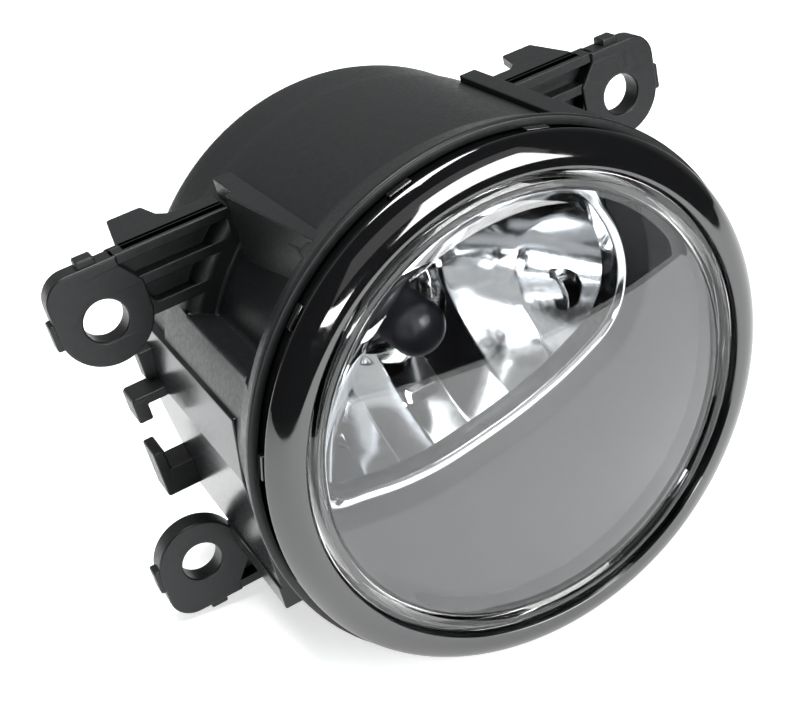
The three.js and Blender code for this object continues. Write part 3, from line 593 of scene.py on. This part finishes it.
# %% Clip hooks
HOOK_Y = (14.4, 20.9)
upper_hook = rounded([
    (-42, 2.3), (-50.4, 2.3, 0.9), (-50.4, -2.65, 0.4), (-47.7, -2.65, 0.4), (-47.7, 0.5), (-42, 0.5),
], 0.3)
lower_hook = rounded([
    (-42, -19.3), (-50.4, -19.3, 0.6), (-50.4, -9.4, 0.5), (-48.2, -9.4, 0.5), (-48.2, -13.6), (-42, -13.6),
], 0.3)
nub = rounded([(-45.8, 2.6), (-42, 2.6), (-42, 8.4), (-45.8, 8.4)], 0.5)
hooks = [plate(upper_hook, *HOOK_Y, 0.35), plate(lower_hook, *HOOK_Y, 0.35), plate(nub, 18.5, 22.3, 0.35)]
piece("housing_clip_hooks", hooks, moulded, "housing", weighted=True)

# %% [markdown]
# ## Mounting ears
# Each ear is a pad round a plain hole, on an arm that is cored out from the front into two long
# pockets with a rib between them. A thin plate runs back from the arm's top edge, with a tab. One
# function draws the upper right ear, and mirroring gives the others.

# %% Ears
EAR_X, EAR_Z, EAR_R, HOLE_R, EAR_THICK = 51.1, 25.45, 8.0, 3.7, 4.0
ARM_TOP, ARM_BOTTOM, ARM_FRONT = 35.2, 22.8, 0.4


def ear(name, sx, sz):
    """Pad, cored arm, top plate with its tab, and two small nubs; sx and sz mirror it."""
    low = np.radians(np.linspace(0, -180, 41))
    pad = [(EAR_X + EAR_R * math.cos(t), EAR_Z + EAR_R * math.sin(t), 0) for t in low]
    pad += [(EAR_X - EAR_R, 29.5, 0.6), (46.0, 33.4, 0.6), (46.0, ARM_TOP, 0.2)]
    pad += [(EAR_X + EAR_R, ARM_TOP, 4.6)]
    pad_plate = plate(rounded(pad, 0.3, 10), 0, EAR_THICK, 0.35, [disc(EAR_X, EAR_Z, HOLE_R)])
    arm = rounded([(26, ARM_BOTTOM), (47.0, ARM_BOTTOM), (47.0, ARM_TOP), (26, ARM_TOP)], 0.3)
    cores = [
        rounded([(27.0, 30.2), (46.0, 30.2), (46.4, 31.4), (46.4, 33.4), (27.0, 33.4)], 0.4),
        rounded([(27.0, 24.8), (42.6, 24.8, 1.6), (43.4, 28.4, 0.6), (27.0, 28.4)], 0.4),
    ]
    front = plate(arm, ARM_FRONT, 3.2, 0.2, cores)
    rear = plate(arm, 3.0, 4.4, 0.25)
    top = rounded([
        (26, 1.0), (44.7, 1.0), (44.7, 5.4, 0.5), (43.0, 15.6, 0.6), (36.7, 15.6, 0.6),
        (35.6, 10.2, 0.8), (34.0, 8.2, 1.2), (26, 8.2),
    ], 0.3)
    top_plate = plate(top, 33.4, ARM_TOP, 0.25, plane="xy")
    nub_top = rounded([(49.2, 34.0), (52.4, 34.0), (52.4, 36.4, 0.4), (49.2, 36.4, 0.4)], 0.2)
    nub_side = rounded([(56.5, 23.4), (59.9, 23.4, 0.4), (59.9, 28.2, 0.4), (56.5, 28.2)], 0.2)
    nubs = [plate(nub_top, 0.6, 3.6, 0.25), plate(nub_side, 0.4, 3.4, 0.25)]
    parts = [moved(p, (sx, 1, sz)) for p in (pad_plate, front, rear, top_plate, *nubs)]
    return piece(name, parts, moulded, "housing", weighted=True)


ear("housing_ear_upper_right", 1, 1)
ear("housing_ear_upper_left", -1, 1)
ear("housing_ear_lower_left", -1, -1)

# %% [markdown]
# ## Ring, lens and sealant
# The ring is a full round moulding in polished black, with a thin skirt that runs into the
# housing's groove. The lens is one clear moulding: a shallow dome, a bead round its edge, and a
# foot in the sealant.

# %% Trim ring
RING_SEAM, RING_R, MOUTH_R = -38.6, 45.0, 39.6
ROUND, EDGE_ANGLE = 5.67, 56
slope = np.radians(np.linspace(EDGE_ANGLE, -7, 26))
crest_r = RING_R - ROUND * math.sin(math.radians(EDGE_ANGLE))
centre_y = RING_SEAM - 0.35 + ROUND * math.cos(math.radians(EDGE_ANGLE))
crown = [(crest_r + ROUND * math.sin(t), centre_y - ROUND * math.cos(t), 0) for t in slope]
ring_profile = rounded([
    (RING_R, RING_SEAM, 0.08),
    (RING_R, RING_SEAM - 0.3, 0.25),
    *crown[1:],
    (MOUTH_R, -40.9, 0.3),
    (MOUTH_R, -39.5, 0.1),
    (41.0, -39.8, 0.3),
    (42.4, -39.8, 0.4),
    (43.5, -38.9, 0.2),
    (43.5, -33.8, 0.1),
    (44.4, -33.8, 0.1),
    (44.4, RING_SEAM, 0.1),
], 0.2, 3)
CATCHES = 12
catch_outline = rounded([(-2, 43.9), (2, 43.9), (2, RING_R), (-2, RING_R)], 0.15)
catch = plate(catch_outline, -37.6, -36.2, 0.15)
catches = [spun(catch, (k + 0.5) * 360 / CATCHES) for k in range(CATCHES)]
ring = piece("ring_polished", [turned(ring_profile, 320), *catches], gloss_black, "housing")
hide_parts("trim_ring")

# %% Lens
LENS_R, FACE_R, FACE_Y, CROWN_Y, LENS_WALL = 39.2, 35.5, -40.9, -44.2, 2.6


def dome(r, y_edge, y_crown, reach):
    """Depth of a shallow dome that falls with the square of the radius."""
    return y_crown + (y_edge - y_crown) * (r / reach) ** 2


radii = np.linspace(0, FACE_R, 28)
front_face = [(x, dome(x, FACE_Y, CROWN_Y, FACE_R), 0) for x in radii]
back_face = [(x, dome(x, FACE_Y, CROWN_Y, FACE_R) + LENS_WALL, 0) for x in radii[::-1]]
lens_profile = rounded([
    *front_face,
    (36.2, -40.3, 0.2),
    (36.8, -40.8, 0.2),
    (37.8, -41.15, 0.6),
    (LENS_R, -40.4, 0.5),
    (LENS_R, -39.0, 0.3),
    (38.7, -38.4, 0.2),
    (38.7, -34.4, 0.2),
    (36.9, -34.4, 0.2),
    (36.9, -38.2, 0.3),
    *back_face,
], 0.2, 4)
lens = piece("lens_moulding", [turned(lens_profile, 256)], clear_lens, "housing")
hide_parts("lens")

# %% [markdown]
# ## The mask and its opening
# The mask behind the lens is dark and polished. Its opening is a round arc over the top and left,
# and an S-shaped edge below. Round the opening the mask rolls inwards, and a bright lip stands in
# the gap. Both follow one outline, worked out as an evenly spaced closed path.

# %% Outline of the opening
def smooth_path(points, count):
    """A Catmull-Rom curve through the points, evaluated at evenly spaced parameters."""
    p = np.asarray(points, float)
    p = np.concatenate([2 * p[:1] - p[1:2], p, 2 * p[-1:] - p[-2:-1]])
    t = np.linspace(0, len(p) - 3 - 1e-9, count)
    k, s = t.astype(int), (t % 1)[:, None]
    a, b, c, d = p[k], p[k + 1], p[k + 2], p[k + 3]
    return 0.5 * (2 * b + (c - a) * s + (2 * a - 5 * b + 4 * c - d) * s**2 + (3 * b - a - 3 * c + d) * s**3)


def even(loop, count):
    """A closed path resampled at equal distances along itself."""
    closed = np.concatenate([loop, loop[:1]])
    run = np.concatenate([[0], np.cumsum(np.linalg.norm(np.diff(closed, axis=0), axis=1))])
    want = np.arange(count) * run[-1] / count
    return np.stack([np.interp(want, run, closed[:, k]) for k in (0, 1)], 1)


def relaxed(loop, passes):
    """A closed path with its kinks smoothed: each point moves to the mean of its neighbours."""
    for _ in range(passes):
        loop = 0.5 * loop + 0.25 * (np.roll(loop, 1, 0) + np.roll(loop, -1, 0))
    return loop


OPENING_R, TIP_R = 35.5, 2.3
top_arc = np.radians(np.linspace(57.5, 178, 60))
tip_arc = np.radians(np.linspace(178, 265, 12))
lower_edge = [
    (-30.4, -2.2), (-24.0, -3.4), (-16.5, -3.7), (-8.8, -2.8), (-0.9, -1.4), (7.3, 0.9), (13.0, 3.2),
    (17.6, 5.6), (20.8, 9.2), (22.5, 13.6), (22.9, 18.5), (21.9, 23.8), (19.6, 29.2),
]
opening = np.concatenate([
    OPENING_R * np.stack([np.cos(top_arc), np.sin(top_arc)], 1)[:-1],
    np.stack([-33.2 + TIP_R * np.cos(tip_arc), 0.4 + TIP_R * np.sin(tip_arc)], 1)[:-1],
    smooth_path(lower_edge, 90),
])
opening = relaxed(even(opening, 480), 30)
print("opening spans, mm:", np.round(opening.max(0) - opening.min(0), 1))

# %% Mask
MASK_R, MASK_FRONT, MASK_REAR = 36.6, -36.4, -34.9
ROLL_WIDTH, ROLL_DEPTH = 4.0, 1.1

outward = opening - inset_of(opening, 1.0)
outward /= np.linalg.norm(outward, axis=1)[:, None]
along = np.sum(opening * outward, 1)
room = -along + np.sqrt(along**2 - np.sum(opening**2, 1) + (MASK_R - 0.2) ** 2)
width = relaxed(np.minimum(ROLL_WIDTH, 0.85 * room)[:, None], 20)[:, 0]
rows = []
for s in np.linspace(0, 1, 10):
    flat = opening + outward * (width * s)[:, None]
    rows.append(np.c_[flat[:, 0], MASK_FRONT + ROLL_DEPTH * (1 - s) * width / ROLL_WIDTH, flat[:, 1]])
edge = rows[-1][:, [0, 2]]
bearing = np.arctan2(edge[:, 1], edge[:, 0])
rim = np.stack([np.cos(bearing), np.sin(bearing)], 1) * MASK_R
for s in np.linspace(0, 1, 8)[1:]:
    flat = edge + (rim - edge) * s
    rows.append(np.c_[flat[:, 0], np.full(len(flat), MASK_FRONT), flat[:, 1]])
rows.append(np.c_[rim[:, 0], np.full(len(rim), MASK_REAR), rim[:, 1]])
back_rim = opening + outward * 0.4
rows.append(np.c_[back_rim[:, 0], np.full(len(rim), MASK_REAR + 0.4), back_rim[:, 1]])
mask_points = np.stack(rows)
mask = piece(
    "mask_shell", [(mask_points, grid_faces(*mask_points.shape[:2], True, True))],
    mask_grey, "housing",
)
# Faces of the inward roll take the darker grey, which paints in the shade under the lip.
mask.data.materials.append(roll_painted_shade)
for face in mask.data.polygons:
    painted_shade_roll = (MASK_FRONT + 0.03) * MM < face.center.y < (MASK_FRONT + ROLL_DEPTH) * MM
    face.material_index = int(painted_shade_roll and face.normal.y < -0.5)
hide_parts("inner_bezel")

# %% Bright lip
LIP_FRONT, LIP_REAR, LIP_WALL = -37.0, -32.0, 1.7
lip_section = rounded([
    (0.3, LIP_FRONT + 0.5, 0.7), (1.0, LIP_FRONT - 0.1, 0.6), (0.3 + LIP_WALL, LIP_FRONT + 0.6, 0.7),
    (0.3 + LIP_WALL, LIP_REAR, 0.2), (1.2, LIP_REAR, 0.2), (0.3, LIP_FRONT + 2.6, 0.5),
], 0.3, 5)
lip_rows = [
    np.c_[inset_of(opening, d)[:, 0], np.full(len(opening), depth), inset_of(opening, d)[:, 1]]
    for d, depth in lip_section
]
lip_points = np.stack(lip_rows)
lip = piece(
    "opening_lip", [(lip_points, grid_faces(*lip_points.shape[:2], True, True))],
    bright_lip, "housing",
)
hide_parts("aperture_trim")

# %% [markdown]
# ## The reflector
# The bowl is a paraboloid whose focus is the filament. Its face is split into upright flutes, each
# a shallow curve of its own, which spread the beam sideways. The flutes are a ripple on the bowl's
# depth that depends only on X, and it fades at the neck.

# %% Reflector bowl
FOCUS_Y, FOCAL, FRONT_Y, BOWL_WALL = 12.4, 5.6, -30.0, 1.8
NECK_BORE, NECK_R, NECK_END = 10.4, 13.6, 38.4
FLUTE_WIDTH, FLUTE_DEPTH = 8.4, 0.55
vertex_y = FOCUS_Y + FOCAL


def bowl_depth(r):
    """Depth of the paraboloid at a radius."""
    return vertex_y - r**2 / (4 * FOCAL)


front_r = math.sqrt(4 * FOCAL * (vertex_y - FRONT_Y))
radii = NECK_BORE + (front_r - NECK_BORE) * np.linspace(0, 1, 90)
turns = np.arange(360) * FULL_TURN / 360
rr, tt = np.meshgrid(radii, turns, indexing="ij")
across, height = rr * np.cos(tt), rr * np.sin(tt)
phase = (across / FLUTE_WIDTH + 0.5) % 1 - 0.5
ripple = FLUTE_DEPTH * (1 - (2 * phase) ** 2)
fade = smooth_step(rr, NECK_BORE, NECK_BORE + 2) * (1 - smooth_step(rr, front_r - 0.8, front_r))
bowl = np.stack([across, bowl_depth(rr) - ripple * fade, height], -1)
inner = [bowl[k] for k in range(len(radii))][::-1]


def circle_row(r, y):
    """One ring of points about the lamp axis."""
    return np.stack([r * np.cos(turns), np.full(len(turns), y), r * np.sin(turns)], -1)


neck = rounded([
    (NECK_BORE, 33.6), (12.3, 33.6), (12.3, 36.3), (NECK_BORE, 36.3), (NECK_BORE, NECK_END, 0.3),
    (16.0, NECK_END, 0.3), (16.0, NECK_END - 3.2, 0.3), (NECK_R, NECK_END - 4.4, 0.4), (NECK_R, 14.4, 0.4),
], 0.1, 3)
outer = [circle_row(x + BOWL_WALL, bowl_depth(x)) for x in radii[10::8]]
front_edge = [circle_row(front_r + BOWL_WALL, FRONT_Y), circle_row(front_r + BOWL_WALL / 2, FRONT_Y)]
rows = [*inner, *(circle_row(x, y) for x, y in neck), *outer, *front_edge]
shell_points = np.stack(rows)
shell = (shell_points, grid_faces(*shell_points.shape[:2], True, True))
reflector = piece("reflector_bowl", [shell], silvered, "reflector")

# %% Reflector bosses and fork
boss_line = rounded([(2.3, 24.0), (4.2, 24.0), (4.2, 31.0, 0.4), (2.3, 31.0, 0.2)], 0.1)
stub = turned(boss_line, 48, (-9.6, 0), axis="x")
prongs = [
    plate(rounded([(-3, -26), (3, -26), (3, -15), (-3, -15)], 0.6), y0, y0 + 2.4, 0.3)
    for y0 in (3.7, 8.7)
]
piece(
    "reflector_fork", [stub, moved(stub, (-1, 1, 1)), *prongs],
    silvered, "reflector", weighted=True,
)
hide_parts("reflector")

# %% [markdown]
# ## The bulb
# A straight tube of glass with a dark tip that stops direct light, a coiled filament on two
# supports, and a moulded base that locks in the reflector's neck with three lugs.

# %% Glass and dark tip
tip = np.radians(np.linspace(90, 0, 16))
glass_out = [(5.0 * math.cos(t), -0.6 - 3.6 * math.sin(t), 0) for t in tip]
glass_in = [(4.1 * math.cos(t), -0.4 - 2.6 * math.sin(t), 0) for t in tip[::-1]]
glass_line = rounded([*glass_out, (5.0, 29.4, 0.3), (4.1, 29.4, 0.3), *glass_in], 0.2, 4)
glass = piece("bulb_tube", [turned(glass_line, 96)], bulb_clear, "bulb")
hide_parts("bulb_glass")

cap_out = [(5.45 * math.cos(t), -0.7 - 4.1 * math.sin(t), 0) for t in tip]
cap_in = [(5.15 * math.cos(t), -0.6 - 3.8 * math.sin(t), 0) for t in tip[::-1]]
cap_line = rounded([*cap_out, (5.45, 5.8, 0.1), (5.15, 5.8, 0.1), *cap_in], 0.1, 3)
cap = piece("bulb_dark_tip", [turned(cap_line, 96)], dark_coat, "bulb")
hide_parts("bulb_coating")

# %% Filament coil
COIL_TURNS, COIL_R, WIRE_R = 11, 0.55, 0.11
t = np.linspace(0, 1, COIL_TURNS * 24)
a = t * COIL_TURNS * FULL_TURN
centre = np.stack([COIL_R * np.cos(a), FOCUS_Y - 2.1 + 4.2 * t, COIL_R * np.sin(a)], -1)
ahead = np.gradient(centre, axis=0)
ahead /= np.linalg.norm(ahead, axis=1)[:, None]
sideways = np.stack([np.cos(a), np.zeros_like(a), np.sin(a)], -1)
third = np.cross(ahead, sideways)
ring_a = np.arange(8) * FULL_TURN / 8
tube = centre[:, None] + WIRE_R * (
    np.cos(ring_a)[None, :, None] * sideways[:, None] + np.sin(ring_a)[None, :, None] * third[:, None]
)
coil_faces = grid_faces(len(t), 8, False, True).tolist()
coil_faces += [list(range(8)), list(range((len(t) - 1) * 8, len(t) * 8))]
coil = piece("filament_coil", [(tube, coil_faces)], tungsten, "bulb")
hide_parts("filament")

# %% [markdown]
# ## Rear pieces
# The boot, its clamp and the vent cap close the back of the lamp. The boot's web bends as the
# reflector tilts, so that piece rides on neither body.

# %% Rear boot
boot_line = rounded([
    (22.3, 25.3, 0.2), (23.6, 25.3, 0.4), (23.6, 30.5, 0.8), (20.6, 30.7, 0.8), (19.2, 29.3, 0.6),
    (18.0, 29.3, 0.8), (17.2, 33.7, 0.5), (13.9, 33.7, 0.3), (13.9, 31.6, 0.3), (15.9, 31.6, 0.4),
    (16.7, 28.0, 0.8), (19.2, 28.0, 0.4), (19.5, 29.2, 0.2), (22.3, 29.2, 0.2),
], 0.4, 5)
boot = piece("rear_boot_rubber", [turned(dense(boot_line, 0.4), 144)], soft_rubber, None)
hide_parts("rear_boot")
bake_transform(boot)

# %% [markdown]
# ## Table, light and world
# The lamp leans on its flange, its rear band and its lower ear, so the table is the plane that
# touches all three. Its pitch comes from the two round contacts, and its lean from the ear.

# %% Table
EAR_CONTACT = np.array((-52.4, 2.0, -36.4))
FLANGE_Y, BAND_Y = -35.0, 22.0
pitch = math.atan2(BAND_R - FLANGE_R, BAND_Y - FLANGE_Y)
table_drop = FLANGE_R * math.cos(pitch) - FLANGE_Y * math.sin(pitch)
reach = math.hypot(EAR_CONTACT[0], EAR_CONTACT[2])
touch = (table_drop + EAR_CONTACT[1] * math.sin(pitch)) / math.cos(pitch)
lean = math.atan2(-EAR_CONTACT[0], -EAR_CONTACT[2]) - math.acos(touch / reach)
normal = Vector((
    math.sin(lean) * math.cos(pitch), math.sin(pitch), math.cos(lean) * math.cos(pitch),
))
print("table leans", round(math.degrees(lean), 1), "pitches", round(math.degrees(pitch), 1))

TABLE_FRONT, TABLE_BACK, TABLE_HALF = -225 * MM, 1.6, 1.4
ahead = Vector((0, 1, 0)) - normal * normal.y
ahead.normalize()
beside = ahead.cross(normal)
foot = -normal * (table_drop + 0.2) * MM
corners = [
    foot + beside * x + ahead * y
    for x, y in ((-TABLE_HALF, TABLE_FRONT), (TABLE_HALF, TABLE_FRONT),
                 (TABLE_HALF, TABLE_BACK), (-TABLE_HALF, TABLE_BACK))
]
table_mesh = bpy.data.meshes.new("table")
table_mesh.from_pydata([tuple(c) for c in corners], [], [(0, 1, 2, 3)])
table = bpy.data.objects.new("table", table_mesh)
bpy.context.scene.collection.objects.link(table)

table_white = finish_of(
    "table_white", (0.86, 0.87, 0.88), 0.6,
    Emission_Color=(1, 1, 1, 1), Emission_Strength=0.6,
)
nodes, links = table_white.node_tree.nodes, table_white.node_tree.links
seen_from = nodes.new("ShaderNodeNewGeometry")
clear = nodes.new("ShaderNodeBsdfTransparent")
either = nodes.new("ShaderNodeMixShader")
links.new(seen_from.outputs["Backfacing"], either.inputs["Fac"])
links.new(nodes["Principled BSDF"].outputs["BSDF"], either.inputs[1])
links.new(clear.outputs["BSDF"], either.inputs[2])
links.new(either.outputs["Shader"], nodes["Material Output"].inputs["Surface"])
table_mesh.materials.append(table_white)

# %% [markdown]
# The table is seen from below through its back face in some views, so that face is clear. The
# lights are broad panels. They stay out of the camera's own sight, and show in what is polished.

# %% Lights
def panel(name, place, target, size, power, spread=180, roll=0):
    """A rectangular area light at a place, in metres, turned to face a target."""
    light = bpy.data.lights.new(name, "AREA")
    light.shape = "RECTANGLE"
    light.size, light.size_y = size
    light.energy = power
    light.spread = math.radians(spread)
    lamp = bpy.data.objects.new(name, light)
    bpy.context.scene.collection.objects.link(lamp)
    aim_turn = (Vector(target) - Vector(place)).to_track_quat("-Z", "Y").to_matrix()
    lamp.matrix_world = Matrix.Translation(place) @ (
        aim_turn @ Matrix.Rotation(math.radians(roll), 3, "Z")
    ).to_4x4()
    lamp.visible_camera = False
    return lamp


def seen_at(azimuth, elevation, distance):
    """A place in front of the lamp: azimuth from -Y towards +X, and elevation above it."""
    a, e = math.radians(azimuth), math.radians(elevation)
    flat = distance * math.cos(e)
    return (flat * math.sin(a), -flat * math.cos(a), distance * math.sin(e))


panel("overhead", (0.06, 0.02, 0.9), (0.04, 0.0, 0), (0.5, 0.5), 13.5)
panel("front_box", seen_at(22, 12, 0.8), (0, -0.04, 0), (0.36, 0.44), 7)
panel("front_screen", seen_at(10, 30, 0.9), (0, -0.03, 0), (0.95, 0.5), 0.9)
panel("front_strip", seen_at(-9, 2, 0.8), (0, -0.04, 0), (0.40, 0.05), 2, roll=-42)

# %% World
world = bpy.data.worlds.new("studio")
bpy.context.scene.world = world
world.use_nodes = True
nodes, links = world.node_tree.nodes, world.node_tree.links
backdrop = nodes["Background"]
backdrop.inputs["Color"].default_value = (1, 1, 1, 1)
backdrop.inputs["Strength"].default_value = 1.0
place = nodes.new("ShaderNodeTexCoord")
split = nodes.new("ShaderNodeSeparateXYZ")
links.new(place.outputs["Generated"], split.inputs["Vector"])
depth = nodes.new("ShaderNodeMapRange")
for key, value in zip(("From Min", "From Max", "To Min", "To Max"), (-0.1, 0.5, 0.02, 0.4)):
    depth.inputs[key].default_value = value
links.new(split.outputs["Y"], depth.inputs["Value"])
room = nodes.new("ShaderNodeBackground")
links.new(depth.outputs["Result"], room.inputs["Strength"])
path = nodes.new("ShaderNodeLightPath")
pick = nodes.new("ShaderNodeMixShader")
links.new(path.outputs["Is Camera Ray"], pick.inputs["Fac"])
links.new(room.outputs["Background"], pick.inputs[1])
links.new(backdrop.outputs["Background"], pick.inputs[2])
links.new(pick.outputs["Shader"], nodes["World Output"].inputs["Surface"])

bpy.context.scene.view_settings.view_transform = "Standard"
